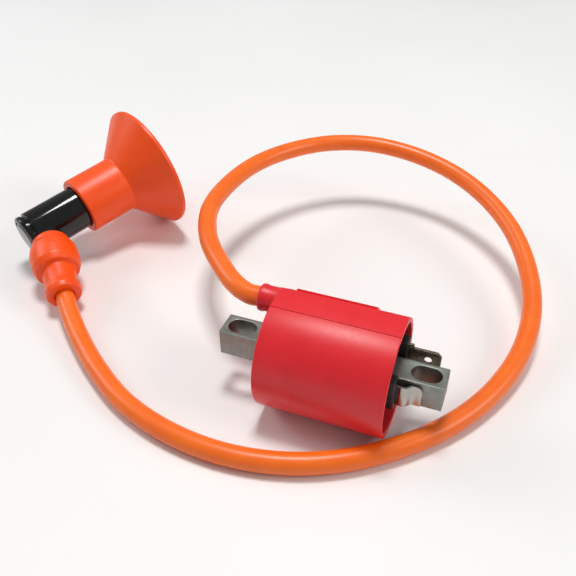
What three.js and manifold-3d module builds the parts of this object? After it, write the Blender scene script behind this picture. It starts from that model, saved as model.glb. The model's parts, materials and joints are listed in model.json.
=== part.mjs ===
// Ignition coil of a small engine: potted coil on a slotted iron core bar, high-tension lead and
// elbowed spark plug cap. Millimetres, +X along the core bar towards the terminals, +Z up.
// The origin is on the floor under the middle of the core bar.
import * as THREE from 'three';
import { mergeVertices } from 'three/addons/utils/BufferGeometryUtils.js';
import Module from 'manifold-3d';

const wasm = await Module();
wasm.setup();

// ---------- driving dimensions ----------
const GAP = 0.3;                 // clearance between neighbouring pieces
const FLOOR_CLEARANCE = 0.02;    // under the rim of the flare
const RADIAN = Math.PI / 180;

// core bar
const CORE_LENGTH = 73;
const CORE_SIDE = 9.3;
const SLOT_CENTRE = 30.1;        // each mounting slot, from the middle of the bar
const SLOT_LENGTH = 9.4;
const SLOT_WIDTH = 6.3;

// coil housing
const HOUSING_RADIUS = 19.1;
const HOUSING_WALL = 1.6;
const HOUSING_START = -19.4;     // closed end
const HOUSING_END = 21.7;        // open, potted end
const AXIS_HEIGHT = HOUSING_RADIUS;
const LAND_HEIGHT = 19.15;       // flat land on top, above the axis
const LAND_NEAR = -3;
const LAND_FAR = 7;
const RIB_RADIUS = 19.8;         // shallow rib along the rear shoulder
const RIB_START = -15.6;
const RIB_END = 11;
const BOSS_Y = 12.6;             // lead boss on the closed end
const BOSS_Z = 27.3;
const BOSS_RADIUS = 4.7;
const BOSS_FACE = -28.8;
const BOSS_BORE = 3.8;

// windings inside the housing
const INNER_START = -15.5;
const INNER_END = 15;
const CORE_SLEEVE_INNER = CORE_SIDE / 2 + 0.2;
const CORE_SLEEVE_OUTER = 5.35;
const PRIMARY_BORE = 5.6;
const PRIMARY_TUBE = 8.4;
const PRIMARY_FLANGE = 10.6;
const FLANGE_THICKNESS = 1;
const PRIMARY_WINDING = [8.65, 10.4];
const WRAP = [10.8, 11.3];
const SECONDARY_TUBE = [11.6, 12.4];
const SECONDARY_FLANGE = 16.8;
const SECONDARY_WINDING = [12.65, 16.2];
const SECTION_COUNT = 6;
const RESIN_START = 15.3;
const RESIN_END = 18.2;
const RESIN_RADIUS = 17.2;

// terminals at the open end
const TERMINAL_ROOT = 16.2;
const BLADE_Y = 8;
const BLADE_Z = 22.2;
const BLADE_END = 33;
const BLADE_WIDTH = 7.2;
const BLADE_SHOULDER_END = 24.3;
const BLADE_SHOULDER_WIDTH = 9.6;
const BLADE_THICKNESS = 0.8;
const BLADE_CHAMFER = 1.3;
const BLADE_HOLE_X = 29;
const BLADE_HOLE_RADIUS = 1.2;
const STRAP_HEIGHT = 7.6;
const STRAP_BASE = 15.1;
const STRAP_THICKNESS = 0.6;
const STRAP_ROUTE = [[16.2, -6.5], [21.6, -6.5], [24, -7.1], [25.6, -6.9], [27.2, -5.4], [30.2, -5.25]];
const STRAP_CORNER = 1.6;
const STRAP_STEPS = 20;
const CARRIER_START = 15.8;
const CARRIER_END = 22.6;
const BLADE_CARRIER = { y: [5.8, 10.3], z: [16, 28.4] };
const STRAP_CARRIER = { y: [-8.8, -5.2], z: [13.8, 25.4] };
const STRAP_SLOT_Y = [-7.4, -5.9];

// high-tension lead
const LEAD_RADIUS = 3.5;
const LEAD_SIDES = 8;
const LEAD_STEPS = 44;
const PIN_RADIUS = 1.1;
const PIN_LENGTH = 8;
const PIN_POINT = 2;
const PIN_HEAD_RADIUS = 2.2;
const PIN_HEAD_THICKNESS = 0.6;
const LINK_X = [-16.6, -15.8];

// spark plug cap, measured from the elbow point along its own axis
const CAP_AZIMUTH = 62.8;
const CAP_ELEVATION = 10;
const CAP_X = -133.8;
const CAP_Y = 35.3;
const CAP_RADIUS = 8.95;
const CAP_START = -9.2;
const CAP_END = 47;
const CAP_PLUG_RADIUS = 6.6;
const CAP_PLUG_START = -9.6;
const CAP_PLUG_SEAT = -7.2;
const CAP_SMALL_BORE = 3.4;
const CAP_WIDE_BORE = 6.4;
const CAP_WEB = [13.4, 16];
const CAP_PLUG_INNER = -4;
const RESISTOR = [4.3, 11];
const RESISTOR_RADIUS = 2.8;
const RESISTOR_CAP_RADIUS = 3;
const RESISTOR_CAP_LENGTH = 1.2;
const RESISTOR_CAP_GAP = 0.2;
const SOCKET = { stem: 13, base: 16.4, floor: 18, neck: 21, end: 28 };
const SOCKET_BORE = 3.4;
const SOCKET_RADIUS = 5;
const SOCKET_STEM_RADIUS = 2.1;
const CLIP = { inner: 4.75, outer: 5.35, start: 21.6, end: 22.2 };
const SPRING = { start: -3.4, length: 5.6, radius: 2.4, wire: 0.35, turns: 3, stepsPerTurn: 10 };
const SEAL_START = 16;
const SEAL_RADIUS = 11.75;
const FLARE_START = 35.9;
const FLARE_END = 51.5;
const FLARE_RADIUS = 26.2;
const FLARE_EDGE = 2;
const LIP_RADIUS = 16;
const LIP_END = 54.8;
const LIP_BORE = 5.8;

// lead stub of the cap and its cable boot, measured from the elbow point along the lead
const STUB_AZIMUTH = -46;
const STUB_ELEVATION = -14;
const STUB_RADIUS = 5.8;
const STUB_END = 24;
const STUB_BORE = 3.8;
const STUB_BORE_START = 6.4;
const SCREW_HOLE = 1.7;
const SCREW_HEAD = { radius: 2.6, start: 4.3, end: 5.3 };
const SCREW_HEAD_POCKET = { radius: 3, start: 3, end: 5.6 };
const THREAD = { root: 1.1, crest: 1.5, start: 8, pitch: 2, turns: 6, tip: 21.5 };
const WEB_HOLE = 2.4;
const BOOT_START = 9.6;
const BOOT_END = 38.2;

// ---------- solids ----------
const WELD = 1e-4;
const ROUND = 24;                // sides of an ordinary turned piece

function toSolid(geometry) {
  const bare = new THREE.BufferGeometry();
  bare.setAttribute('position', geometry.getAttribute('position').clone());
  if (geometry.index) bare.setIndex(geometry.index.clone());
  const merged = mergeVertices(bare, WELD);
  const index = merged.index.array;
  const corners = [];
  for (let i = 0; i < index.length; i += 3) {
    const [a, b, c] = [index[i], index[i + 1], index[i + 2]];
    if (a !== b && b !== c && c !== a) corners.push(a, b, c);
  }
  const vertProperties = new Float32Array(merged.getAttribute('position').array);
  const solid = new wasm.Manifold(new wasm.Mesh({
    numProp: 3, vertProperties, triVerts: new Uint32Array(corners),
  }));
  if (solid.volume() > 0) return solid;
  return new wasm.Manifold(new wasm.Mesh({
    numProp: 3, vertProperties, triVerts: new Uint32Array(corners.reverse()),
  }));
}

function toGeometry(solid) {
  const mesh = solid.getMesh();
  const geometry = new THREE.BufferGeometry();
  geometry.setAttribute('position', new THREE.BufferAttribute(mesh.vertProperties, 3));
  geometry.setIndex(new THREE.BufferAttribute(mesh.triVerts, 1));
  geometry.computeVertexNormals();
  return geometry;
}

const ALONG_X = new THREE.Matrix4().makeBasis(
  new THREE.Vector3(0, 1, 0), new THREE.Vector3(0, 0, 1), new THREE.Vector3(1, 0, 0));

// Turns a profile of [radius, distance] points about +Z.
function turned(profile, sides = ROUND) {
  const points = profile.map(([radius, distance]) => new THREE.Vector2(radius, distance));
  return toSolid(new THREE.LatheGeometry(points, sides).rotateX(Math.PI / 2));
}

// A plain disc or ring from one distance to another along +Z.
function ring(inner, outer, start, end, sides = ROUND) {
  if (inner === 0) return turned([[0, start], [outer, start], [outer, end], [0, end]], sides);
  return turned([[inner, start], [outer, start], [outer, end], [inner, end], [inner, start]], sides);
}

// The same ring along +X, centred on the given line.
function ringX(inner, outer, start, end, y = 0, z = AXIS_HEIGHT, sides = ROUND) {
  const lying = ring(inner, outer, start, end, sides);
  return toSolid(toGeometry(lying).applyMatrix4(ALONG_X).translate(0, y, z));
}

function box(x0, x1, y0, y1, z0, z1) {
  const block = new THREE.BoxGeometry(x1 - x0, y1 - y0, z1 - z0);
  return toSolid(block.translate((x0 + x1) / 2, (y0 + y1) / 2, (z0 + z1) / 2));
}

// An outline in (y, z) pushed along +X.
function prismX(shape, start, end, curveSegments = 12) {
  const push = new THREE.ExtrudeGeometry(shape, { depth: end - start, bevelEnabled: false, curveSegments });
  return toSolid(push.translate(0, 0, start).applyMatrix4(ALONG_X));
}

// An outline in (x, y) pushed along +Z.
function prismZ(shape, start, end, curveSegments = 12) {
  const push = new THREE.ExtrudeGeometry(shape, { depth: end - start, bevelEnabled: false, curveSegments });
  return toSolid(push.translate(0, 0, start));
}

// A box whose long bore along +X is square: half the side is given for the outside and the bore.
function squareTube(inner, outer, start, end) {
  const body = box(start, end, -outer, outer, AXIS_HEIGHT - outer, AXIS_HEIGHT + outer);
  return body.subtract(squareBar(inner, start - 1, end + 1));
}

function squareBar(half, start, end) {
  return box(start, end, -half, half, AXIS_HEIGHT - half, AXIS_HEIGHT + half);
}

function slotShape(centre, length, width) {
  const half = length / 2 - width / 2;
  const shape = new THREE.Shape();
  shape.absarc(centre - half, 0, width / 2, Math.PI / 2, 1.5 * Math.PI, false);
  shape.absarc(centre + half, 0, width / 2, -Math.PI / 2, Math.PI / 2, false);
  return shape;
}

// ---------- colours ----------
const finish = (color, roughness, metalness) => ({ color, roughness, metalness });
const RED = finish(0xd8222c, 0.42, 0);
const ORANGE_LEAD = finish(0xf26a2a, 0.45, 0);
const ORANGE_RUBBER = finish(0xff5a12, 0.5, 0);
const BLACK_GLOSS = finish(0x0c0d0d, 0.12, 0);
const BLACK_MATT = finish(0x191918, 0.5, 0);
const IRON = finish(0x868d89, 0.42, 0.85);
const TIN = finish(0xb9b7ad, 0.25, 0.95);
const BRONZE = finish(0x8a7a66, 0.3, 0.95);
const BRASS = finish(0xc7a24b, 0.3, 0.95);
const COPPER = finish(0xb5653a, 0.35, 0.95);
const RESIN = finish(0x3a1512, 0.35, 0);
const NYLON = finish(0xd9d2bd, 0.5, 0);
const FILM = finish(0xd7b25a, 0.35, 0);
const CERAMIC = finish(0xe9e6de, 0.35, 0);
const STEEL = finish(0xb9bcc0, 0.3, 0.95);

function piece(name, solid, { color, roughness, metalness }) {
  const mesh = new THREE.Mesh(
    toGeometry(solid), new THREE.MeshStandardMaterial({ color, roughness, metalness }));
  mesh.name = name;
  return mesh;
}

const coil = new THREE.Group();

// ---------- core bar ----------
function coreBar() {
  const half = CORE_LENGTH / 2;
  let bar = squareBar(CORE_SIDE / 2, -half, half);
  for (const side of [-1, 1]) {
    const slot = slotShape(side * SLOT_CENTRE, SLOT_LENGTH, SLOT_WIDTH);
    bar = bar.subtract(prismZ(slot, 0, 2 * AXIS_HEIGHT));
  }
  return bar;
}

// ---------- housing ----------
function housingOutline() {
  const nearAngle = Math.acos(LAND_NEAR / HOUSING_RADIUS);
  const farAngle = Math.acos(LAND_FAR / HOUSING_RADIUS);
  const outline = new THREE.Shape();
  outline.moveTo(LAND_FAR, AXIS_HEIGHT + LAND_HEIGHT);
  outline.lineTo(LAND_NEAR, AXIS_HEIGHT + LAND_HEIGHT);
  outline.absarc(0, AXIS_HEIGHT, HOUSING_RADIUS, nearAngle, farAngle + 2 * Math.PI, false);
  outline.closePath();
  return outline;
}

function ribOutline() {
  const rib = new THREE.Shape();
  rib.absarc(0, AXIS_HEIGHT, RIB_RADIUS, 36 * RADIAN, 56 * RADIAN, false);
  rib.absarc(0, AXIS_HEIGHT, HOUSING_RADIUS - HOUSING_WALL / 2, 56 * RADIAN, 36 * RADIAN, true);
  rib.closePath();
  return rib;
}

function housing() {
  const bore = HOUSING_RADIUS - HOUSING_WALL;
  const floorInside = HOUSING_START + HOUSING_WALL;
  return prismX(housingOutline(), HOUSING_START, HOUSING_END, 48)
    .add(prismX(ribOutline(), RIB_START, RIB_END, 4))
    .subtract(ringX(0, bore, floorInside, HOUSING_END + 1, 0, AXIS_HEIGHT, 48))
    .add(ringX(0, BOSS_RADIUS, BOSS_FACE, HOUSING_START + HOUSING_WALL / 2, BOSS_Y, BOSS_Z, 28))
    .subtract(ringX(0, BOSS_BORE, BOSS_FACE - 1, floorInside + 1, BOSS_Y, BOSS_Z, 28))
    .subtract(squareBar(CORE_SIDE / 2 + GAP, HOUSING_START - 1, floorInside + 1));
}

// ---------- bobbins and windings ----------
function primaryBobbin() {
  const middle = ringX(0, PRIMARY_TUBE, INNER_START, INNER_END);
  const left = ringX(0, PRIMARY_FLANGE, INNER_START, INNER_START + FLANGE_THICKNESS);
  const right = ringX(0, PRIMARY_FLANGE, INNER_END - FLANGE_THICKNESS, INNER_END);
  return middle.add(left).add(right).subtract(squareBar(PRIMARY_BORE, INNER_START - 1, INNER_END + 1));
}

const sectionPitch = (INNER_END - INNER_START - FLANGE_THICKNESS) / SECTION_COUNT;

function secondaryBobbin() {
  const [inner, outer] = SECONDARY_TUBE;
  const profile = [[inner, INNER_START]];
  for (let i = 0; i <= SECTION_COUNT; i += 1) {
    const start = INNER_START + i * sectionPitch;
    const end = start + FLANGE_THICKNESS;
    if (i > 0) profile.push([outer, start]);
    profile.push([SECONDARY_FLANGE, start], [SECONDARY_FLANGE, end]);
    if (i < SECTION_COUNT) profile.push([outer, end]);
  }
  profile.push([inner, INNER_END], [inner, INNER_START]);
  const lying = toGeometry(turned(profile)).applyMatrix4(ALONG_X);
  return toSolid(lying.translate(0, 0, AXIS_HEIGHT));
}

function secondarySection(i) {
  const [inner, outer] = SECONDARY_WINDING;
  const start = INNER_START + i * sectionPitch + FLANGE_THICKNESS + 0.2;
  const end = INNER_START + (i + 1) * sectionPitch - 0.2;
  return ringX(inner, outer, start, end);
}

// ---------- terminals ----------
function bladeOutline() {
  const wide = BLADE_SHOULDER_WIDTH / 2;
  const half = BLADE_WIDTH / 2;
  const outline = new THREE.Shape();
  outline.moveTo(TERMINAL_ROOT, -wide);
  outline.lineTo(BLADE_SHOULDER_END, -wide);
  outline.lineTo(BLADE_SHOULDER_END, -half);
  outline.lineTo(BLADE_END - BLADE_CHAMFER, -half);
  outline.lineTo(BLADE_END, -half + BLADE_CHAMFER);
  outline.lineTo(BLADE_END, half - BLADE_CHAMFER);
  outline.lineTo(BLADE_END - BLADE_CHAMFER, half);
  outline.lineTo(BLADE_SHOULDER_END, half);
  outline.lineTo(BLADE_SHOULDER_END, wide);
  outline.lineTo(TERMINAL_ROOT, wide);
  outline.closePath();
  const hole = new THREE.Path();
  hole.absarc(BLADE_HOLE_X, 0, BLADE_HOLE_RADIUS, 0, 2 * Math.PI, true);
  outline.holes.push(hole);
  return outline;
}

function bladeTerminal() {
  const flat = toGeometry(prismZ(bladeOutline(), -BLADE_THICKNESS / 2, BLADE_THICKNESS / 2, 10));
  return toSolid(flat.rotateX(Math.PI / 2).translate(0, BLADE_Y, BLADE_Z));
}

// A joggled strip: its edge follows the route at half the thickness on each side.
function earthStrap() {
  const path = new THREE.CatmullRomCurve3(
    STRAP_ROUTE.map(([x, y]) => new THREE.Vector3(x, y, 0)), false, 'centripetal');
  const near = [];
  const far = [];
  for (let i = 0; i <= STRAP_STEPS; i += 1) {
    const point = path.getPointAt(i / STRAP_STEPS);
    const tangent = path.getTangentAt(i / STRAP_STEPS);
    const side = new THREE.Vector2(-tangent.y, tangent.x).multiplyScalar(STRAP_THICKNESS / 2);
    near.push(new THREE.Vector2(point.x - side.x, point.y - side.y));
    far.unshift(new THREE.Vector2(point.x + side.x, point.y + side.y));
  }
  const strip = prismZ(new THREE.Shape([...near, ...far]), STRAP_BASE, STRAP_BASE + STRAP_HEIGHT);
  const [end, y] = STRAP_ROUTE.at(-1);
  const top = STRAP_BASE + STRAP_HEIGHT;
  const square = box(end - STRAP_CORNER, end + 1, y - 2, y + 2, top - STRAP_CORNER, top + 1);
  const round = cylinderY(end - STRAP_CORNER, top - STRAP_CORNER, STRAP_CORNER, y - 3, y + 3);
  return strip.subtract(square.subtract(round));
}

function cylinderY(x, z, radius, y0, y1) {
  const disc = toGeometry(ring(0, radius, y0, y1)).rotateX(-Math.PI / 2);
  return toSolid(disc.translate(x, 0, z));
}

function carrier({ y, z }, slot) {
  return box(CARRIER_START, CARRIER_END, ...y, ...z).subtract(slot);
}

const bladeHalf = BLADE_THICKNESS / 2 + GAP;
const bladeSlot = box(
  CARRIER_START - 1, CARRIER_END + 1, BLADE_Y - bladeHalf, BLADE_Y + bladeHalf,
  BLADE_Z - BLADE_SHOULDER_WIDTH / 2 - GAP, BLADE_Z + BLADE_SHOULDER_WIDTH / 2 + GAP);
const strapSlot = box(
  CARRIER_START - 1, CARRIER_END + 1, ...STRAP_SLOT_Y,
  STRAP_BASE - GAP, STRAP_BASE + STRAP_HEIGHT + GAP);

// The opening in the resin round a terminal carrier.
function carrierWindow({ y, z }) {
  return box(RESIN_START - 1, RESIN_END + 1, y[0] - GAP, y[1] + GAP, z[0] - GAP, z[1] + GAP);
}

function pottingResin() {
  return ringX(0, RESIN_RADIUS, RESIN_START, RESIN_END)
    .subtract(squareBar(CORE_SIDE / 2 + GAP, RESIN_START - 1, RESIN_END + 1))
    .subtract(carrierWindow(BLADE_CARRIER))
    .subtract(carrierWindow(STRAP_CARRIER));
}

coil.add(piece('coil_housing', housing(), RED));
coil.add(piece('core_bar', coreBar(), IRON));
coil.add(piece(
  'core_sleeve', squareTube(CORE_SLEEVE_INNER, CORE_SLEEVE_OUTER, INNER_START, INNER_END), FILM));
coil.add(piece('primary_bobbin', primaryBobbin(), NYLON));
coil.add(piece('primary_winding', ringX(
  ...PRIMARY_WINDING, INNER_START + FLANGE_THICKNESS + GAP, INNER_END - FLANGE_THICKNESS - GAP), COPPER));
coil.add(piece('winding_wrap', ringX(...WRAP, INNER_START, INNER_END), FILM));
coil.add(piece('secondary_bobbin', secondaryBobbin(), NYLON));
for (let i = 0; i < SECTION_COUNT; i += 1) {
  coil.add(piece(`secondary_winding_${i + 1}`, secondarySection(i), COPPER));
}
coil.add(piece('potting_resin', pottingResin(), RESIN));
coil.add(piece('blade_carrier', carrier(BLADE_CARRIER, bladeSlot), BLACK_MATT));
coil.add(piece('strap_carrier', carrier(STRAP_CARRIER, strapSlot), BLACK_MATT));
coil.add(piece('blade_terminal', bladeTerminal(), BRONZE));
coil.add(piece('earth_strap', earthStrap(), TIN));

// ---------- high-tension outlet ----------
// Brass spike that the end of the lead is pushed onto, and its link to the last winding section.
function contactPin() {
  const base = HOUSING_START + HOUSING_WALL + GAP;
  const tip = base - GAP - PIN_LENGTH;
  const profile = [
    [0, tip], [PIN_RADIUS, tip + PIN_POINT], [PIN_RADIUS, base], [PIN_HEAD_RADIUS, base],
    [PIN_HEAD_RADIUS, base + PIN_HEAD_THICKNESS], [0, base + PIN_HEAD_THICKNESS],
  ];
  return toSolid(toGeometry(turned(profile)).applyMatrix4(ALONG_X).translate(0, BOSS_Y, BOSS_Z));
}

coil.add(piece('ht_contact_pin', contactPin(), BRASS));
coil.add(piece('ht_link', box(...LINK_X, BOSS_Y - 1, BOSS_Y + 1, BOSS_Z - 2, BOSS_Z + 1), TIN));
coil.add(piece('lead_coil_end', ringX(
  PIN_RADIUS + 0.2, LEAD_RADIUS, BOSS_FACE, HOUSING_START, BOSS_Y, BOSS_Z, 16), ORANGE_LEAD));

// ---------- directions of the cap and its lead stub ----------
function direction(azimuth, elevation) {
  const flat = Math.cos(elevation * RADIAN);
  return new THREE.Vector3(
    flat * Math.cos(azimuth * RADIAN), flat * Math.sin(azimuth * RADIAN), Math.sin(elevation * RADIAN));
}

const capAxis = direction(CAP_AZIMUTH, CAP_ELEVATION);
const stubAxis = direction(STUB_AZIMUTH, STUB_ELEVATION);
// The rim of the flare rests on the floor, which sets the height of the elbow.
const elbowHeight = FLOOR_CLEARANCE + FLARE_RADIUS * Math.cos(CAP_ELEVATION * RADIAN)
  - (FLARE_END - FLARE_EDGE) * Math.sin(CAP_ELEVATION * RADIAN);
const elbow = new THREE.Vector3(CAP_X, CAP_Y, elbowHeight);

// A group whose +Z is the given axis and whose +X leans towards the other one.
function frameAt(origin, axis, towards) {
  const side = towards.clone().addScaledVector(axis, -towards.dot(axis)).normalize();
  const up = new THREE.Vector3().crossVectors(axis, side);
  const frame = new THREE.Group();
  frame.setRotationFromMatrix(new THREE.Matrix4().makeBasis(side, up, axis));
  frame.position.copy(origin);
  return frame;
}

const cap = frameAt(elbow, capAxis, stubAxis);
const stub = frameAt(elbow, stubAxis, capAxis);
coil.add(cap, stub);

// A ring along the elbow's other axis: the lead stub in the frame of the cap, and the reverse.
const elbowAngle = capAxis.angleTo(stubAxis);

function crossRing(inner, outer, start, end, sides = 28) {
  return toSolid(toGeometry(ring(inner, outer, start, end, sides)).rotateY(elbowAngle));
}

// ---------- lead ----------
// Route of the lead: out of the boss, round behind the coil, down to the floor and up to the boot.
const leadEnd = elbow.clone().addScaledVector(stubAxis, BOOT_END + GAP);
const leadBend = leadEnd.clone().addScaledVector(stubAxis, 6);
const LEAD_ROUTE = [
  [BOSS_FACE - GAP, BOSS_Y, BOSS_Z],
  [-33, BOSS_Y, BOSS_Z],
  [-39, 15, 27.8],
  [-47, 21.5, 28.5],
  [-59, 35, 29.5],
  [-67, 53, 30.2],
  [-68, 73, 30.5],
  [-64, 93, 30.6],
  [-54, 111, 30.4],
  [-40, 124, 30],
  [-23, 131, 29],
  [-4, 131, 27.4],
  [15, 125, 25],
  [31, 114, 22],
  [44, 99, 18.4],
  [53, 81, 14],
  [57.5, 62, 10],
  [57, 43, 6.8],
  [52, 24, 4.8],
  [43, 6, 3.9],
  [30.5, -9.5, 3.6],
  [14, -23, 3.6],
  [-3, -31, 3.6],
  [-22, -34.5, 3.6],
  [-42, -33, 3.6],
  [-61, -27, 3.6],
  [-78, -17, 3.8],
  [-93, -5.5, 4.6],
  [leadBend.x, leadBend.y, leadBend.z],
  [leadEnd.x, leadEnd.y, leadEnd.z],
];

function leadTube() {
  const route = new THREE.CatmullRomCurve3(
    LEAD_ROUTE.map((point) => new THREE.Vector3(...point)), false, 'centripetal');
  const section = new THREE.Shape();
  for (let i = 0; i < LEAD_SIDES; i += 1) {
    const angle = (i / LEAD_SIDES) * 2 * Math.PI;
    const spot = [LEAD_RADIUS * Math.cos(angle), LEAD_RADIUS * Math.sin(angle)];
    if (i === 0) section.moveTo(...spot);
    else section.lineTo(...spot);
  }
  section.closePath();
  return toSolid(new THREE.ExtrudeGeometry(section, { steps: LEAD_STEPS, extrudePath: route }));
}

coil.add(piece('ht_lead', leadTube(), ORANGE_LEAD));

// ---------- cable boot and the end of the lead inside it ----------
function cableBoot() {
  const inner = STUB_RADIUS + GAP;
  const bore = LEAD_RADIUS + GAP;
  return turned([
    [inner, BOOT_START], [7, BOOT_START], [7.4, 10.4], [7.6, 12.5], [8.9, 14.4], [9.4, 17.5],
    [9.3, 23], [8.4, 25.6], [6.4, 25.9], [6.3, 33], [6.9, 36], [6.5, BOOT_END], [bore, BOOT_END],
    [bore, STUB_END + GAP], [inner, STUB_END + GAP], [inner, BOOT_START],
  ], 28).subtract(crossRing(0, CAP_RADIUS + GAP, -2 * CAP_RADIUS, CAP_END));
}

// Coarse wood-screw thread on a plain shank.
function leadScrew() {
  const { root, crest, start, pitch, turns, tip } = THREAD;
  const { radius: head, start: top, end: seat } = SCREW_HEAD;
  const profile = [[0, top], [head, top], [head, seat], [root, seat]];
  for (let turn = 0; turn < turns; turn += 1) {
    const foot = start + turn * pitch;
    profile.push([root, foot], [crest, foot + pitch / 2], [root, foot + pitch * 0.75]);
  }
  profile.push([0, tip]);
  return turned(profile, 10);
}

stub.add(piece('cable_boot', cableBoot(), ORANGE_RUBBER));
stub.add(piece(
  'lead_cap_end', ring(SCREW_HOLE, LEAD_RADIUS, STUB_BORE_START + GAP, BOOT_END, 16), ORANGE_LEAD));
stub.add(piece('lead_screw', leadScrew(), BRASS));

// ---------- cap ----------
function capBody() {
  const [webStart, webEnd] = CAP_WEB;
  const pocket = SCREW_HEAD_POCKET;
  const outside = turned([
    [0, CAP_START], [7.9, CAP_START], [8.6, -8.6], [8.6, -7.2], [8.1, -6.7], [8.1, -6.2],
    [CAP_RADIUS, -5.7], [CAP_RADIUS, CAP_END], [0, CAP_END],
  ], 36);
  return outside
    .add(crossRing(0, STUB_RADIUS, 0, STUB_END))
    .subtract(ring(0, CAP_PLUG_RADIUS + GAP, CAP_START - 1, CAP_PLUG_SEAT))
    .subtract(ring(0, CAP_SMALL_BORE, CAP_START - 1, webStart, 20))
    .subtract(ring(0, WEB_HOLE, webStart - 1, webEnd + 1, 16))
    .subtract(ring(0, CAP_WIDE_BORE, webEnd, CAP_END + 1, 28))
    .subtract(crossRing(0, pocket.radius, pocket.start, pocket.end, 16))
    .subtract(crossRing(0, SCREW_HOLE, 0, STUB_BORE_START + 1, 16))
    .subtract(crossRing(0, STUB_BORE, STUB_BORE_START, STUB_END + 1, 20));
}

function capEndPlug() {
  const seat = CAP_PLUG_SEAT - GAP;
  return turned([
    [0, CAP_PLUG_START], [CAP_PLUG_RADIUS - 0.8, CAP_PLUG_START], [CAP_PLUG_RADIUS, CAP_PLUG_START + 0.7],
    [CAP_PLUG_RADIUS, seat], [CAP_SMALL_BORE - GAP, seat], [CAP_SMALL_BORE - GAP, CAP_PLUG_INNER],
    [0, CAP_PLUG_INNER],
  ]);
}

function contactSpring() {
  const { start, length, radius, wire, turns, stepsPerTurn } = SPRING;
  const steps = turns * stepsPerTurn;
  const points = [];
  for (let i = 0; i <= steps; i += 1) {
    const angle = (i / stepsPerTurn) * 2 * Math.PI;
    points.push(new THREE.Vector3(
      radius * Math.cos(angle), radius * Math.sin(angle), start + (i / steps) * length));
  }
  const section = new THREE.Shape();
  section.absarc(0, 0, wire, 0, 2 * Math.PI, false);
  const path = new THREE.CatmullRomCurve3(points);
  return toSolid(new THREE.ExtrudeGeometry(section, { steps, extrudePath: path, curveSegments: 3 }));
}

function resistorCap(start) {
  return ring(0, RESISTOR_CAP_RADIUS, start, start + RESISTOR_CAP_LENGTH, 20);
}

function terminalSocket() {
  const { stem, base, floor, neck, end } = SOCKET;
  const groove = SOCKET_RADIUS - 0.5;
  return turned([
    [0, stem], [SOCKET_STEM_RADIUS, stem], [SOCKET_STEM_RADIUS, base], [SOCKET_RADIUS, base],
    [SOCKET_RADIUS, neck], [groove, neck + 0.4], [groove, neck + 1.4], [SOCKET_RADIUS, neck + 1.8],
    [SOCKET_RADIUS, end], [SOCKET_BORE, end], [SOCKET_BORE, floor], [0, floor],
  ], 20);
}

function sealBoot() {
  const bore = CAP_RADIUS + GAP;
  return turned([
    [bore, SEAL_START], [SEAL_RADIUS - 0.5, SEAL_START], [SEAL_RADIUS, SEAL_START + 0.6],
    [SEAL_RADIUS, FLARE_START], [FLARE_RADIUS, FLARE_END - FLARE_EDGE], [FLARE_RADIUS, FLARE_END],
    [FLARE_RADIUS - FLARE_EDGE, FLARE_END], [LIP_RADIUS, 42.3], [LIP_RADIUS, LIP_END - 1],
    [LIP_RADIUS - 1, LIP_END], [LIP_BORE, LIP_END], [LIP_BORE, CAP_END + 3], [bore, CAP_END + GAP],
    [bore, SEAL_START],
  ], 44);
}

cap.add(piece('cap_body', capBody(), BLACK_GLOSS));
cap.add(piece('cap_end_plug', capEndPlug(), BLACK_GLOSS));
cap.add(piece('contact_spring', contactSpring(), STEEL));
cap.add(piece(
  'resistor_cap_rear', resistorCap(RESISTOR[0] - RESISTOR_CAP_GAP - RESISTOR_CAP_LENGTH), BRASS));
cap.add(piece('resistor_rod', ring(0, RESISTOR_RADIUS, ...RESISTOR, 20), CERAMIC));
cap.add(piece('resistor_cap_front', resistorCap(RESISTOR[1] + RESISTOR_CAP_GAP), BRASS));
cap.add(piece('terminal_socket', terminalSocket(), BRASS));
cap.add(piece('socket_clip', ring(CLIP.inner, CLIP.outer, CLIP.start, CLIP.end), STEEL));
cap.add(piece('seal_boot', sealBoot(), ORANGE_RUBBER));

export default coil;
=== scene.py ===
import json
import math

import bmesh
import bpy
from mathutils import Matrix, Vector


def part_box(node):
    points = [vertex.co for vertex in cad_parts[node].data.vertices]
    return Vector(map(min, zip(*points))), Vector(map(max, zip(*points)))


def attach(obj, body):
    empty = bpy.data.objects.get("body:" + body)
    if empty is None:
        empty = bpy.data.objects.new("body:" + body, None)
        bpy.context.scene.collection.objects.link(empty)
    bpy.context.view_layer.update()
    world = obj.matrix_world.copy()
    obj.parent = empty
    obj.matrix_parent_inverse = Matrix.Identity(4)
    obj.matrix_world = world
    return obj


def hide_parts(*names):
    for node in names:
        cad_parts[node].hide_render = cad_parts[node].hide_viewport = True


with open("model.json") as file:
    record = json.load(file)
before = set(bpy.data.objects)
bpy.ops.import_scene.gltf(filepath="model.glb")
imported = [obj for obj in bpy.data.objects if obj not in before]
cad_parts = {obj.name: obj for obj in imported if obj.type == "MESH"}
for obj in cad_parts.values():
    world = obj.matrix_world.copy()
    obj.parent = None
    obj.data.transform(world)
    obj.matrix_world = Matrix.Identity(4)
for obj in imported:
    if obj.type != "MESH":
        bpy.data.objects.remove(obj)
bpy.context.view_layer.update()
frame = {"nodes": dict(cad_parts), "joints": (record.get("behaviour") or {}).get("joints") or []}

# Shapes are described in millimetres and scaled to metres as each mesh is made. The lights, the lead
# and the matrices that place things are in metres.
MM = 0.001
scene = bpy.context.scene

# ---------- camera, lights and floor ----------
CAMERA_AT = Vector((44.64, -154.6, 172.97)) * MM
CAMERA_TILT = math.radians(52.09)
CAMERA_TURN = math.radians(20.916)
CAMERA_LENS = 43.75

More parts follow.
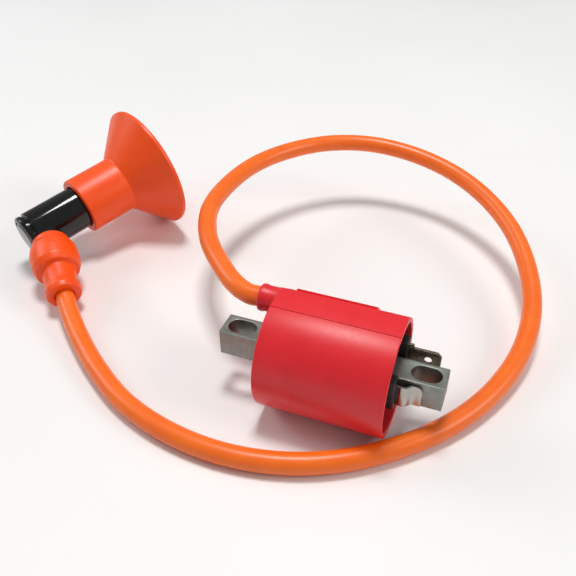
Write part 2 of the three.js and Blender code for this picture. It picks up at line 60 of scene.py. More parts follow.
# name, place in metres, size in metres, power in watts, colour
LIGHTS = (
    ("overhead_light", (-0.10, 0.20, 1.25), (0.30, 0.30), 9.0, (1.0, 0.99, 0.97)),
    ("right_light", (1.10, 0.15, 0.75), (0.55, 0.55), 5.0, (1.0, 0.98, 0.95)),
    ("left_light", (-1.10, 0.05, 0.70), (0.55, 0.55), 3.5, (0.93, 0.97, 1.0)),
)
AMBIENT = (1.0, 1.0, 1.0)
AMBIENT_STRENGTH = 0.30


def add_camera():
    data = bpy.data.cameras.new("camera")
    data.lens = CAMERA_LENS
    data.sensor_width = 36
    data.clip_start = 0.01
    camera = bpy.data.objects.new("camera", data)
    camera.location = CAMERA_AT
    camera.rotation_euler = (CAMERA_TILT, 0, CAMERA_TURN)
    scene.collection.objects.link(camera)
    scene.camera = camera


def add_light(name, place, size, power, colour):
    data = bpy.data.lights.new(name, "AREA")
    data.shape = "RECTANGLE"
    data.size, data.size_y = size
    data.energy = power
    data.color = colour
    light = bpy.data.objects.new(name, data)
    light.location = place
    light.rotation_euler = (-Vector(place)).to_track_quat("-Z", "Y").to_euler()
    scene.collection.objects.link(light)


def add_world():
    world = bpy.data.worlds.new("studio")
    world.use_nodes = True
    background = world.node_tree.nodes["Background"]
    background.inputs["Color"].default_value = (*AMBIENT, 1)
    background.inputs["Strength"].default_value = AMBIENT_STRENGTH
    scene.world = world
    scene.view_settings.view_transform = "Standard"


add_camera()
add_world()
for light in LIGHTS:
    add_light(*light)


# ---------- materials ----------
def grain(tree, scale, detail=3.0, stretch=(1, 1, 1)):
    """Noise over the object's own metres."""
    place = tree.nodes.new("ShaderNodeTexCoord")
    mapping = tree.nodes.new("ShaderNodeMapping")
    mapping.inputs["Scale"].default_value = stretch
    tree.links.new(place.outputs["Object"], mapping.inputs["Vector"])
    noise = tree.nodes.new("ShaderNodeTexNoise")
    noise.inputs["Scale"].default_value = scale
    noise.inputs["Detail"].default_value = detail
    tree.links.new(mapping.outputs["Vector"], noise.inputs["Vector"])
    return noise


def ramp(tree, factor, low, high, start=0.3, end=0.7):
    """Colour that goes from low to high as factor goes from start to end."""
    node = tree.nodes.new("ShaderNodeValToRGB")
    node.color_ramp.elements[0].position = start
    node.color_ramp.elements[0].color = (*low, 1)
    node.color_ramp.elements[1].position = end
    node.color_ramp.elements[1].color = (*high, 1)
    tree.links.new(factor, node.inputs["Fac"])
    return node.outputs["Color"]


def to_range(tree, factor, low, high):
    node = tree.nodes.new("ShaderNodeMapRange")
    node.inputs["From Min"].default_value = 0.3
    node.inputs["From Max"].default_value = 0.7
    node.inputs["To Min"].default_value = low
    node.inputs["To Max"].default_value = high
    tree.links.new(factor, node.inputs["Value"])
    return node.outputs["Result"]


def material(name, low, high, roughness, patch=120, fine=2500, bump=0.05, depth=0.00004,
             stretch=(1, 1, 1), sockets=None):
    """A surface whose colour wanders in patches, with a fine grain in its roughness and relief."""
    made = bpy.data.materials.new(name)
    made.use_nodes = True
    tree = made.node_tree
    surface = tree.nodes["Principled BSDF"]
    patches = grain(tree, patch, stretch=stretch)
    tree.links.new(ramp(tree, patches.outputs["Fac"], low, high), surface.inputs["Base Color"])
    speckle = grain(tree, fine, detail=2, stretch=stretch)
    tree.links.new(to_range(tree, speckle.outputs["Fac"], *roughness), surface.inputs["Roughness"])
    relief = tree.nodes.new("ShaderNodeBump")
    relief.inputs["Strength"].default_value = bump
    relief.inputs["Distance"].default_value = depth
    tree.links.new(speckle.outputs["Fac"], relief.inputs["Height"])
    tree.links.new(relief.outputs["Normal"], surface.inputs["Normal"])
    for socket, value in (sockets or {}).items():
        surface.inputs[socket].default_value = value
    return made


RED = material(
    "red plastic", (0.74, 0.013, 0.022), (0.80, 0.018, 0.028), (0.34, 0.44), bump=0.12,
    sockets={"Subsurface Weight": 0.05, "Subsurface Radius": (0.0012, 0.0004, 0.0004)})
LEAD = material(
    "orange jacket", (0.93, 0.150, 0.008), (0.97, 0.175, 0.012), (0.30, 0.38), bump=0.06,
    sockets={"Subsurface Weight": 0.12, "Subsurface Radius": (0.003, 0.0012, 0.0005)})
RUBBER = material(
    "orange rubber", (0.94, 0.078, 0.001), (0.98, 0.095, 0.002), (0.33, 0.44), bump=0.10,
    sockets={"Subsurface Weight": 0.10, "Subsurface Radius": (0.003, 0.0010, 0.0004)})
PHENOLIC = material(
    "black phenolic", (0.0035, 0.004, 0.004), (0.006, 0.0065, 0.0065), (0.06, 0.11), bump=0.03)
BLACK_NYLON = material(
    "black nylon", (0.006, 0.006, 0.006), (0.013, 0.013, 0.012), (0.35, 0.5), bump=0.15)
IRON = material(
    "plated iron", (0.235, 0.250, 0.232), (0.300, 0.315, 0.292), (0.36, 0.50), patch=420, bump=0.14,
    sockets={"Metallic": 0.85})
TIN = material(
    "tinned sheet", (0.40, 0.40, 0.37), (0.50, 0.49, 0.46), (0.14, 0.24), bump=0.08,
    sockets={"Metallic": 1.0})
BRONZE = material(
    "plated blade", (0.30, 0.25, 0.20), (0.40, 0.34, 0.28), (0.18, 0.30), patch=300, bump=0.08,
    sockets={"Metallic": 1.0})
BRASS = material(
    "turned brass", (0.60, 0.40, 0.14), (0.70, 0.50, 0.20), (0.16, 0.28), patch=300, bump=0.10,
    sockets={"Metallic": 1.0})
COPPER = material(
    "enamelled wire", (0.55, 0.16, 0.06), (0.75, 0.30, 0.12), (0.20, 0.34), patch=900, fine=4000,
    stretch=(6, 0.2, 0.2), bump=0.5, depth=0.0001, sockets={"Metallic": 1.0})
RESIN = material(
    "epoxy resin", (0.020, 0.007, 0.006), (0.040, 0.014, 0.011), (0.12, 0.3), patch=200, bump=0.25)
NYLON = material(
    "natural nylon", (0.62, 0.57, 0.44), (0.70, 0.66, 0.54), (0.38, 0.5), bump=0.1)
FILM = material(
    "polyester film", (0.52, 0.34, 0.09), (0.60, 0.42, 0.13), (0.2, 0.3), bump=0.1)
CERAMIC = material(
    "ceramic rod", (0.66, 0.64, 0.58), (0.74, 0.72, 0.67), (0.4, 0.55), bump=0.2)
STEEL = material(
    "spring steel", (0.50, 0.51, 0.52), (0.62, 0.63, 0.65), (0.18, 0.3), bump=0.1,
    sockets={"Metallic": 1.0})
FLOOR = material(
    "white table", (0.86, 0.86, 0.86), (0.90, 0.90, 0.90), (0.5, 0.6), patch=6, fine=600, bump=0.02)

CAD_LOOKS = {
    "core_sleeve": FILM, "primary_bobbin": NYLON, "primary_winding": COPPER, "winding_wrap": FILM,
    "secondary_bobbin": NYLON, "ht_contact_pin": BRASS, "ht_link": TIN, "lead_cap_end": LEAD,
    "lead_screw": BRASS, "contact_spring": STEEL, "resistor_cap_rear": BRASS, "resistor_rod": CERAMIC,
    "resistor_cap_front": BRASS, "socket_clip": STEEL,
}
WINDING_SECTIONS = 6
for index in range(1, WINDING_SECTIONS + 1):
    CAD_LOOKS[f"secondary_winding_{index}"] = COPPER
for node, look in CAD_LOOKS.items():
    data = frame["nodes"][node].data
    data.materials.clear()
    data.materials.append(look)


# ---------- mesh helpers ----------
SMOOTH_ANGLE = math.radians(32)
ARC_STEPS = 6


def put(name, data, body, nodes, look):
    """Links a finished mesh or curve as a piece that rides on a body and stands for CAD nodes."""
    piece = bpy.data.objects.new(name, data)
    scene.collection.objects.link(piece)
    data.materials.clear()
    data.materials.append(look)
    if isinstance(data, bpy.types.Mesh):
        data.shade_smooth()
        data.set_sharp_from_angle(angle=SMOOTH_ANGLE)
    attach(piece, body)
    if nodes:
        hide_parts(*nodes)
    return piece


def mesh_from(name, points, faces, matrix=None):
    """A mesh from points in millimetres."""
    data = bpy.data.meshes.new(name)
    data.from_pydata([Vector(point) * MM for point in points], [], faces)
    if matrix is not None:
        data.transform(matrix)
    shape = bmesh.new()
    shape.from_mesh(data)
    bmesh.ops.remove_doubles(shape, verts=shape.verts, dist=1e-7)
    bmesh.ops.recalc_face_normals(shape, faces=shape.faces)
    shape.to_mesh(data)
    shape.free()
    return data


def rounded(points, steps=ARC_STEPS, closed=True):
    """An outline whose points may carry a third number, the radius that the corner is rounded with."""
    made = []
    count = len(points)
    for i, point in enumerate(points):
        corner = Vector(point[:2])
        radius = point[2] if len(point) > 2 else 0
        if radius == 0 or (not closed and i in (0, count - 1)):
            made.append(corner)
            continue
        back = (Vector(points[i - 1][:2]) - corner).normalized()
        ahead = (Vector(points[(i + 1) % count][:2]) - corner).normalized()
        half = math.acos(max(-1.0, min(1.0, back.dot(ahead)))) / 2
        reach = radius / math.tan(half)
        centre = corner + (back + ahead).normalized() * radius / math.sin(half)
        start = corner + back * reach - centre
        end = corner + ahead * reach - centre
        turn = math.atan2(start.x * end.y - start.y * end.x, start.dot(end))
        for step in range(steps + 1):
            angle = turn * step / steps
            made.append(centre + Vector((
                start.x * math.cos(angle) - start.y * math.sin(angle),
                start.x * math.sin(angle) + start.y * math.cos(angle))))
    return made


def arc(centre, radius, start, end, steps=16):
    """Points of an arc, its angles in degrees."""
    made = []
    for step in range(steps + 1):
        angle = math.radians(start + (end - start) * step / steps)
        made.append((centre[0] + radius * math.cos(angle), centre[1] + radius * math.sin(angle)))
    return made


def lathe(name, profile, matrix, sides=96, closed=True):
    """Turns an outline of (radius, distance) about the Z axis of a matrix."""
    points = []
    for side in range(sides):
        angle = 2 * math.pi * side / sides
        for radius, along in profile:
            points.append((radius * math.cos(angle), radius * math.sin(angle), along))
    rows = len(profile)
    faces = []
    for side in range(sides):
        after = (side + 1) % sides
        for row in range(rows if closed else rows - 1):
            up = (row + 1) % rows
            faces.append((side * rows + row, after * rows + row, after * rows + up, side * rows + up))
    return mesh_from(name, points, faces, matrix)


def plate(name, outlines, thickness, bevel, matrix, steps=3):
    """A flat sheet with holes from closed outlines in (x, y), its edges bevelled."""
    curve = bpy.data.curves.new(name, "CURVE")
    curve.dimensions = "2D"
    curve.fill_mode = "BOTH"
    curve.extrude = (thickness / 2 - bevel) * MM
    curve.bevel_depth = bevel * MM
    curve.bevel_resolution = steps
    curve.offset = -bevel * MM
    for outline in outlines:
        spline = curve.splines.new("POLY")
        spline.points.add(len(outline) - 1)
        for point, (x, y) in zip(spline.points, outline):
            point.co = (x * MM, y * MM, 0, 1)
        spline.use_cyclic_u = True
    return mesh_of_curve(name, curve, matrix)


def mesh_of_curve(name, curve, matrix):
    holder = bpy.data.objects.new(name + "_outline", curve)
    scene.collection.objects.link(holder)
    bpy.context.view_layer.update()
    data = bpy.data.meshes.new_from_object(holder.evaluated_get(bpy.context.evaluated_depsgraph_get()))
    bpy.data.objects.remove(holder)
    bpy.data.curves.remove(curve)
    data.name = name
    data.transform(matrix)
    shape = bmesh.new()
    shape.from_mesh(data)
    bmesh.ops.remove_doubles(shape, verts=shape.verts, dist=2e-6)
    bmesh.ops.recalc_face_normals(shape, faces=shape.faces)
    shape.to_mesh(data)
    shape.free()
    return data


def combine(name, base, *cuts):
    """Joins or cuts closed meshes, in order: each cut is ("UNION" or "DIFFERENCE", mesh)."""
    holder = bpy.data.objects.new(name, base)
    scene.collection.objects.link(holder)
    tools = []
    for operation, data in cuts:
        tool = bpy.data.objects.new(name + "_tool", data)
        scene.collection.objects.link(tool)
        tools.append(tool)
        modifier = holder.modifiers.new(operation, "BOOLEAN")
        modifier.operation = operation
        modifier.solver = "EXACT"
        modifier.object = tool
    bpy.context.view_layer.update()
    graph = bpy.context.evaluated_depsgraph_get()
    made = bpy.data.meshes.new_from_object(holder.evaluated_get(graph))
    for leftover in [holder, *tools]:
        bpy.data.objects.remove(leftover)
    made.name = name
    return made


def block(name, low, high, radius, matrix=None, steps=3):
    """A box from corner to corner with rounded edges."""
    shape = bmesh.new()
    bmesh.ops.create_cube(shape, size=1)
    size = Vector(high) - Vector(low)
    middle = (Vector(high) + Vector(low)) / 2
    for vertex in shape.verts:
        vertex.co = Vector(a * b for a, b in zip(vertex.co, size)) + middle
    bmesh.ops.bevel(shape, geom=shape.edges, offset=radius, segments=steps, affect="EDGES", profile=0.5)
    data = bpy.data.meshes.new(name)
    shape.to_mesh(data)
    shape.free()
    data.transform(Matrix.Scale(MM, 4))
    if matrix is not None:
        data.transform(matrix)
    return data


def frame_at(origin, axis, towards):
    """A matrix whose Z runs along axis and whose X leans towards the other direction."""
    side = (towards - axis * towards.dot(axis)).normalized()
    up = axis.cross(side)
    rotation = Matrix((side, up, axis)).transposed().to_4x4()
    return Matrix.Translation(origin) @ rotation


# ---------- frame of the coil and of the cap ----------
ALONG_X = Matrix(((0, 0, 1, 0), (1, 0, 0, 0), (0, 1, 0, 0), (0, 0, 0, 1)))
core_low, core_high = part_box("core_bar")
AXIS_HEIGHT = (core_low.z + core_high.z) / 2 / MM
joints = {joint["name"]: joint for joint in frame["joints"]}
ELBOW = Vector(joints["cap_swivel"]["pos_m"])
STUB_AXIS = Vector(joints["cap_swivel"]["axis"]).normalized()
CAP_AXIS = Vector(joints["seal_slide"]["axis"]).normalized()
CAP = frame_at(ELBOW, CAP_AXIS, STUB_AXIS)
STUB = frame_at(ELBOW, STUB_AXIS, CAP_AXIS)
COIL_AXIS = Matrix.Translation((0, 0, AXIS_HEIGHT * MM)) @ ALONG_X

# ---------- lead ----------
LEAD_DIAMETER = 0.007
BOOT_END = 0.0382                # along the stub from the elbow
BEND_BEFORE_BOOT = 0.0063
GAP_AT_BOOT = 0.0003
LEAD_INSIDE_BOOT = 0.008
# Out of the boss, round behind the coil, down to the table and up to the boot of the cap.
LEAD_ROUTE = (
    (-0.0210, 0.0126, 0.0273),
    (-0.0291, 0.0126, 0.0273),
    (-0.0330, 0.0126, 0.0273),
    (-0.0390, 0.0150, 0.0278),
    (-0.0470, 0.0215, 0.0285),
    (-0.0590, 0.0350, 0.0295),
    (-0.0670, 0.0530, 0.0302),
    (-0.0680, 0.0730, 0.0305),
    (-0.0640, 0.0930, 0.0306),
    (-0.0540, 0.1110, 0.0304),
    (-0.0400, 0.1240, 0.0300),
    (-0.0230, 0.1310, 0.0290),
    (-0.0040, 0.1310, 0.0274),
    (0.0150, 0.1250, 0.0250),
    (0.0310, 0.1140, 0.0220),
    (0.0440, 0.0990, 0.0184),
    (0.0530, 0.0810, 0.0140),
    (0.0575, 0.0620, 0.0100),
    (0.0570, 0.0430, 0.0068),
    (0.0520, 0.0240, 0.0048),
    (0.0430, 0.0060, 0.0039),
    (0.0305, -0.0095, 0.0036),
    (0.0140, -0.0230, 0.0036),
    (-0.0030, -0.0310, 0.0036),
    (-0.0220, -0.0345, 0.0036),
    (-0.0420, -0.0330, 0.0036),
    (-0.0610, -0.0270, 0.0036),
    (-0.0780, -0.0170, 0.0038),
    (-0.0930, -0.0055, 0.0046),
)


def centripetal(points, steps=14):
    """Points of a centripetal Catmull-Rom curve through the given ones."""
    ends = [points[0] * 2 - points[1], *points, points[-1] * 2 - points[-2]]
    made = []
    for i in range(1, len(ends) - 2):
        p = ends[i - 1:i + 3]
        t = [0.0]
        for a, b in zip(p, p[1:]):
            t.append(t[-1] + math.sqrt((b - a).length))
        for step in range(steps):
            u = t[1] + (t[2] - t[1]) * step / steps
            a = [p[k] * ((t[k + 1] - u) / (t[k + 1] - t[k])) + p[k + 1] * ((u - t[k]) / (t[k + 1] - t[k]))
                 for k in range(3)]
            b = [a[k] * ((t[k + 2] - u) / (t[k + 2] - t[k])) + a[k + 1] * ((u - t[k]) / (t[k + 2] - t[k]))
                 for k in range(2)]
            made.append(b[0] * ((t[2] - u) / (t[2] - t[1])) + b[1] * ((u - t[1]) / (t[2] - t[1])))
    made.append(points[-1])
    return made


def along_stub(distance):
    return ELBOW + STUB_AXIS * distance


def lead_line():
    route = [Vector(point) for point in LEAD_ROUTE]
    distances = (BOOT_END + BEND_BEFORE_BOOT, BOOT_END + GAP_AT_BOOT, BOOT_END - LEAD_INSIDE_BOOT)
    ends = [along_stub(distance) for distance in distances]
    return centripetal(route + ends)


def add_lead():
    line = lead_line()
    curve = bpy.data.curves.new("lead", "CURVE")
    curve.dimensions = "3D"
    curve.bevel_depth = LEAD_DIAMETER / 2
    curve.bevel_resolution = 9
    curve.use_fill_caps = True
    spline = curve.splines.new("POLY")
    spline.points.add(len(line) - 1)
    for point, place in zip(spline.points, line):
        point.co = (*place, 1)
    spline.use_smooth = True
    piece = put("lead", curve, "coil", ("ht_lead", "lead_coil_end"), LEAD)
    length = sum((b - a).length for a, b in zip(line, line[1:]))
    return piece, length


# ---------- coil housing ----------
HOUSING_RADIUS = 19.1
HOUSING_WALL = 1.6
HOUSING_START = -19.4
HOUSING_END = 21.7
LAND_HEIGHT = 19.15
LAND_NEAR = -3.0
LAND_FAR = 7.0
OUTLINE_STEPS = 150
REAR_RIM = 0.55
FRONT_RIM = 0.2
FRONT_RIM_STEPS = 3
RIB_RADIUS = 19.8
RIB_ROOT_DEPTH = 0.8
RIB_ANGLES = (36, 56)
RIB_STEPS = 12
RIB_START = -15.6
RIB_LENGTH = 26.6
RIB_EDGE = 0.25
BOSS_AT = (12.6, 27.3)
BOSS_RADIUS = 4.7
BOSS_BORE = 3.6


def housing_outline():
    """The barrel's outline in (y, height above the axis): a circle with a flat land on top."""
    near = math.acos(LAND_NEAR / HOUSING_RADIUS)
    far = math.acos(LAND_FAR / HOUSING_RADIUS)
    outline = []
    for step in range(OUTLINE_STEPS + 1):
        angle = near + (2 * math.pi - near + far) * step / OUTLINE_STEPS
        outline.append(Vector((math.cos(angle), math.sin(angle))) * HOUSING_RADIUS)
    outline += rounded([
        (LAND_FAR, math.sin(far) * HOUSING_RADIUS), (LAND_FAR, LAND_HEIGHT, 0.45),
        (LAND_NEAR, LAND_HEIGHT, 0.12), (LAND_NEAR, math.sin(near) * HOUSING_RADIUS)],
        closed=False)[1:-1]
    return outline


def shrunk(outline, inset):
    """The outline pulled in towards the axis by a distance."""
    return [point * (1 - inset / point.length) for point in outline]


def barrel():
    """The outside of the barrel with rounded rims, as a closed skin."""
    outline = housing_outline()
    stations = []
    for step in range(ARC_STEPS + 1):
        angle = math.pi / 2 * step / ARC_STEPS
        stations.append((HOUSING_START + REAR_RIM * (1 - math.cos(angle)), REAR_RIM * (1 - math.sin(angle))))
    for step in range(FRONT_RIM_STEPS + 1):
        angle = math.pi / 2 * step / FRONT_RIM_STEPS
        stations.append((HOUSING_END - FRONT_RIM * (1 - math.sin(angle)), FRONT_RIM * (1 - math.cos(angle))))
    points = []
    for x, inset in stations:
        for y, z in shrunk(outline, inset):
            points.append((x, y, z + AXIS_HEIGHT))
    count = len(outline)
    faces = []
    for row in range(len(stations) - 1):
        for i in range(count):
            j = (i + 1) % count
            faces.append((row * count + i, row * count + j, (row + 1) * count + j, (row + 1) * count + i))
    faces.append(tuple(range(count)))
    faces.append(tuple(range((len(stations) - 1) * count, len(stations) * count)))
    return mesh_from("barrel", points, faces)


def rib():
    """The shallow rib behind the land, a curved bar let into the barrel."""
    first, last = RIB_ANGLES
    outline = arc((0, 0), RIB_RADIUS, first, last, RIB_STEPS)
    outline += arc((0, 0), HOUSING_RADIUS - RIB_ROOT_DEPTH, last, first, RIB_STEPS)
    middle = ((RIB_START + RIB_LENGTH / 2) * MM, 0, AXIS_HEIGHT * MM)
    return plate("rib", [outline], RIB_LENGTH, RIB_EDGE, Matrix.Translation(middle) @ ALONG_X)


def add_housing():
    bore = HOUSING_RADIUS - HOUSING_WALL
    floor_inside = HOUSING_START + HOUSING_WALL
    boss_axis = Matrix.Translation((0, BOSS_AT[0] * MM, BOSS_AT[1] * MM)) @ ALONG_X
    boss_end = HOUSING_START + HOUSING_WALL / 2
    hollow = lathe("hollow", rounded([
        (0, floor_inside), (bore, floor_inside, 1.0), (bore, HOUSING_END - 0.25),
        (bore + 0.6, HOUSING_END + 0.4), (bore + 0.6, HOUSING_END + 2), (0, HOUSING_END + 2)],
        closed=False), COIL_AXIS, sides=144)
    boss = lathe("boss", rounded([
        (0, -28.8), (BOSS_RADIUS, -28.8, 0.6), (BOSS_RADIUS, -27.3), (BOSS_RADIUS - 0.25, -26.4),
        (BOSS_RADIUS - 0.25, -20.6), (BOSS_RADIUS + 0.15, HOUSING_START),
        (BOSS_RADIUS + 0.15, boss_end), (0, boss_end)], closed=False), boss_axis, sides=64)
    boss_bore = lathe("boss_bore", rounded([
        (0, -30), (BOSS_BORE + 0.7, -30), (BOSS_BORE + 0.3, -28.9), (BOSS_BORE, -28.2),
        (BOSS_BORE, floor_inside + 1), (0, floor_inside + 1)], closed=False), boss_axis, sides=64)
    half = (core_high.y - core_low.y) / 2 / MM + 0.15
    window = block("window", (HOUSING_START - 1, -half, AXIS_HEIGHT - half),
                   (floor_inside + 1, half, AXIS_HEIGHT + half), 0.3)
    data = combine("housing", barrel(), ("UNION", rib()), ("DIFFERENCE", hollow), ("UNION", boss),
                   ("DIFFERENCE", boss_bore), ("DIFFERENCE", window))
    put("housing", data, "coil", ("coil_housing",), RED)


# ---------- core bar and terminals ----------
SLOT_CENTRE = 30.1
SLOT_LENGTH = 9.4
SLOT_WIDTH = 6.3


def slot_outline(centre):
    half = (SLOT_LENGTH - SLOT_WIDTH) / 2
    radius = SLOT_WIDTH / 2
    return arc((centre - half, 0), radius, 90, 270) + arc((centre + half, 0), radius, -90, 90)


def add_core_bar():
    half_length = core_high.x / MM
    half = core_high.y / MM
    corner = 0.35
    outline = rounded([
        (-half_length, -half, corner), (half_length, -half, corner),
        (half_length, half, corner), (-half_length, half, corner)])
    outlines = [outline, slot_outline(-SLOT_CENTRE), slot_outline(SLOT_CENTRE)]
    height = (core_high.z - core_low.z) / MM
    data = plate("core", outlines, height, 0.25, Matrix.Translation((0, 0, AXIS_HEIGHT * MM)))
    put("core", data, "coil", ("core_bar",), IRON)


TERMINAL_ROOT = 16.2
BLADE_THICKNESS = 0.8
BLADE_AT = (8.0, 22.2)
BLADE_END = 33
BLADE_SHOULDER = 24.3
BLADE_CORNER = 0.4
BLADE_HOLE_AT = (29, 0)
BLADE_HOLE_RADIUS = 1.2


def add_blade():
    wide, half, chamfer = 4.8, 3.6, 1.3
    outline = rounded([
        (TERMINAL_ROOT, -wide), (BLADE_SHOULDER, -wide, BLADE_CORNER), (BLADE_SHOULDER, -half, 0.2),
        (BLADE_END - chamfer, -half, BLADE_CORNER), (BLADE_END, -half + chamfer, BLADE_CORNER),
        (BLADE_END, half - chamfer, BLADE_CORNER), (BLADE_END - chamfer, half, BLADE_CORNER),
        (BLADE_SHOULDER, half, 0.2), (BLADE_SHOULDER, wide, BLADE_CORNER), (TERMINAL_ROOT, wide)], steps=3)
    hole = arc(BLADE_HOLE_AT, BLADE_HOLE_RADIUS, 0, 345, steps=23)
    upright = Matrix.Translation((0, BLADE_AT[0] * MM, BLADE_AT[1] * MM)) @ Matrix.Rotation(
        math.pi / 2, 4, "X")
    data = plate("blade", [outline, hole], BLADE_THICKNESS, 0.12, upright)
    put("blade", data, "coil", ("blade_terminal",), BRONZE)


STRAP_ROUTE = ((TERMINAL_ROOT, -6.5), (21.6, -6.5), (24, -7.1), (25.6, -6.9), (27.2, -5.4), (30.2, -5.25))
STRAP_BASE = 15.1
STRAP_HEIGHT = 7.6
STRAP_THICKNESS = 0.6
STRAP_CORNER = 1.6
STRAP_ROWS = 10


def add_strap():
    route = centripetal([Vector((x, y, 0)) for x, y in STRAP_ROUTE], steps=8)
    lengths = [0.0]
    for a, b in zip(route, route[1:]):
        lengths.append(lengths[-1] + (b - a).length)
    total = lengths[-1]
    corner = STRAP_CORNER
    rows = STRAP_ROWS
    points = []
    for i, place in enumerate(route):
        ahead = route[min(i + 1, len(route) - 1)] - route[max(i - 1, 0)]
        side = Vector((-ahead.y, ahead.x, 0)).normalized() * STRAP_THICKNESS / 2
        past_corner = max(0.0, corner - (total - lengths[i]))
        drop = corner - math.sqrt(max(0.0, corner ** 2 - past_corner ** 2))
        for face in (-1, 1):
            for row in range(rows + 1):
                height = STRAP_BASE + (STRAP_HEIGHT - drop) * row / rows
                spot = place + side * face
                points.append((spot.x, spot.y, height))
    ring = 2 * (rows + 1)
    loop = list(range(rows + 1)) + list(range(ring - 1, rows, -1))
    faces = []
    for i in range(len(route) - 1):
        for a, b in zip(loop, loop[1:] + loop[:1]):
            faces.append((i * ring + a, i * ring + b, (i + 1) * ring + b, (i + 1) * ring + a))
    for i in (0, len(route) - 1):
        for row in range(rows):
            low = i * ring + row
            faces.append((low, low + 1, low + rows + 2, low + rows + 1))
    data = mesh_from("strap", points, faces)
    put("strap", data, "coil", ("earth_strap",), TIN)


def add_carriers():
    blade_block = block("blade_block", (15.8, 5.8, 16), (22.6, 10.3, 28.4), 0.5)
    blade_slot = block("blade_slot", (14, 7.5, 17.2), (24, 8.5, 27.2), 0.05)
    data = combine("blade_holder", blade_block, ("DIFFERENCE", blade_slot))
    put("blade_holder", data, "coil", ("blade_carrier",), BLACK_NYLON)
    strap_block = block("strap_block", (15.8, -8.8, 13.8), (22.6, -5.2, 25.4), 0.5)
    strap_slot = block("strap_slot", (14, -7.2, 14.9), (24, -6.1, 22.9), 0.05)
    data = combine("strap_holder", strap_block, ("DIFFERENCE", strap_slot))
    put("strap_holder", data, "coil", ("strap_carrier",), BLACK_NYLON)


def add_resin():
    disc = lathe("resin", rounded([
        (0, 15.3), (17.2, 15.3), (17.2, 18.0), (16.2, 17.6), (12, 17.4), (0, 17.5)], closed=False),
        COIL_AXIS, sides=96)
    half = 4.75
    gaps = (
        ("core_gap", (14, -half, AXIS_HEIGHT - half), (20, half, AXIS_HEIGHT + half)),
        ("blade_gap", (14, 5.7, 15.9), (20, 10.4, 28.5)),
        ("strap_gap", (14, -8.9, 13.7), (20, -5.1, 25.5)))
    cuts = [("DIFFERENCE", block(name, low, high, 0.2)) for name, low, high in gaps]
    put("resin", combine("resin", disc, *cuts), "coil", ("potting_resin",), RESIN)


# ---------- cap ----------
CAP_RADIUS = 8.95
BOOT_GAP = 0.12                  # between the cable boot and the cap's tube
TABLE_REACH = 3000


def stub_in_cap(name, outline, sides=64):
    return lathe(name, outline, STUB, sides=sides)


def add_cap():
    outside = lathe("cap", rounded([
        (0, -9.2), (8.6, -9.2, 1.1), (8.6, -7.0, 0.2), (8.15, -6.7, 0.15), (8.15, -6.2, 0.15),
        (CAP_RADIUS, -5.7, 0.3), (CAP_RADIUS, 47, 0.4), (0, 47)], closed=False), CAP, sides=128)
    stub = stub_in_cap("stub", rounded([(0, 2), (5.8, 2), (5.8, 24, 0.6), (0, 24)], closed=False))
    end_bore = lathe("end_bore", [(0, -12), (6.9, -12), (6.9, -7.2), (0, -7.2)], CAP)
    small_bore = lathe("small_bore", [(0, -8), (3.4, -8), (3.4, 13.4), (0, 13.4)], CAP, sides=48)
    web_bore = lathe("web_bore", [(0, 13), (2.4, 13), (2.4, 17), (0, 17)], CAP, sides=32)
    wide_bore = lathe("wide_bore", rounded([
        (0, 16), (6.4, 16), (6.4, 46.4), (6.9, 47.2), (6.9, 49), (0, 49)], closed=False), CAP)
    lead_bore = stub_in_cap("lead_bore", [(0, 6.4), (3.8, 6.4), (3.8, 26), (0, 26)], sides=48)
    screw_bore = stub_in_cap(
        "screw_bore", [(0, 3), (3, 3), (3, 5.6), (1.7, 5.6), (1.7, 7), (0, 7)], sides=32)
    data = combine("cap", outside, ("UNION", stub), ("DIFFERENCE", end_bore), ("DIFFERENCE", small_bore),
                   ("DIFFERENCE", web_bore), ("DIFFERENCE", wide_bore), ("DIFFERENCE", lead_bore),
                   ("DIFFERENCE", screw_bore))
    put("cap", data, "plug_cap", ("cap_body",), PHENOLIC)
    plug = lathe("cap_plug", rounded([
        (0, -9.5), (5.9, -9.5, 0.5), (6.6, -8.9, 0.2), (6.6, -7.5), (3.1, -7.5), (3.1, -4), (0, -4)],
        closed=False), CAP)
    put("cap_plug", plug, "plug_cap", ("cap_end_plug",), PHENOLIC)


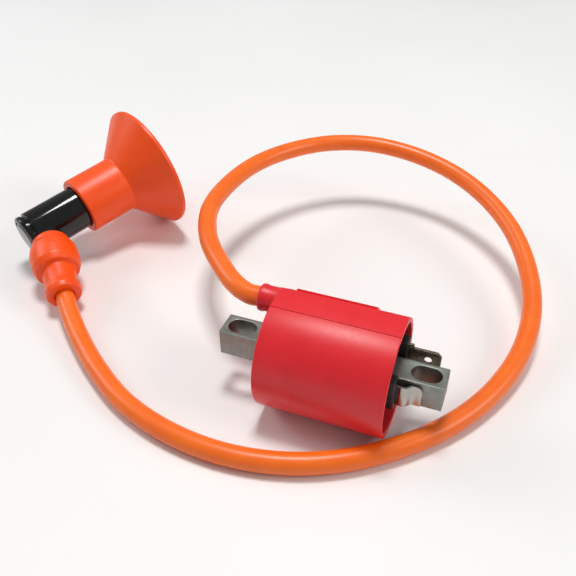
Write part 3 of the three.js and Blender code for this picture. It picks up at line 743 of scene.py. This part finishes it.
def add_socket():
    outline = rounded([
        (0, 13), (2.1, 13), (2.1, 16.4), (5, 16.4, 0.3), (5, 21, 0.2), (4.5, 21.4), (4.5, 22.4),
        (5, 22.8, 0.2), (5, 28, 0.5), (3.4, 28, 0.4), (3.4, 18, 0.6), (0, 18)], closed=False)
    put("socket", lathe("socket", outline, CAP, sides=72), "plug_cap", ("terminal_socket",), BRASS)


def add_seal():
    outline = rounded([
        (9.25, 16, 0.3), (11.75, 16, 0.7), (11.75, 35.9, 1.2), (26.2, 49.9, 0.15), (26.2, 51.5, 0.5),
        (24.6, 51.5, 0.5), (16, 43.2, 1.0), (16, 54.8, 0.7), (5.8, 54.8, 0.8), (5.8, 50, 0.5),
        (9.25, 47.3, 0.3)])
    put("seal", lathe("seal", outline, CAP, sides=160), "plug_seal", ("seal_boot",), RUBBER)


def add_boot():
    outline = rounded([
        (6.0, 9.6, 0.2), (6.9, 9.6, 0.3), (7.4, 10.6, 0.8), (7.6, 12.6, 0.4), (8.9, 14.6, 1.2),
        (9.45, 18, 4), (9.3, 23.0, 2.5), (8.3, 25.7, 0.8), (6.4, 25.9, 0.6), (6.25, 33, 3), (6.9, 36, 1),
        (6.4, 38.2, 0.7), (3.75, 38.2, 0.4), (3.75, 24.3), (6.0, 24.3)])
    boot = lathe("boot", outline, STUB, sides=128)
    clear = CAP_RADIUS + BOOT_GAP
    room = lathe("room", [(0, -20), (clear, -20), (clear, 40), (0, 40)], CAP, sides=128)
    data = combine("boot", boot, ("DIFFERENCE", room))
    return put("boot", data, "plug_cap", ("cable_boot",), RUBBER)


def add_floor():
    far = TABLE_REACH
    corners = [(-far, -far, 0), (far, -far, 0), (far, far, 0), (-far, far, 0)]
    data = mesh_from("table", corners, [(0, 1, 2, 3)])
    data.materials.append(FLOOR)
    table = bpy.data.objects.new("table", data)
    scene.collection.objects.link(table)


lead, lead_length = add_lead()
add_housing()
add_core_bar()
add_blade()
add_strap()
add_carriers()
add_resin()
add_cap()
add_socket()
add_seal()
boot = add_boot()
add_floor()
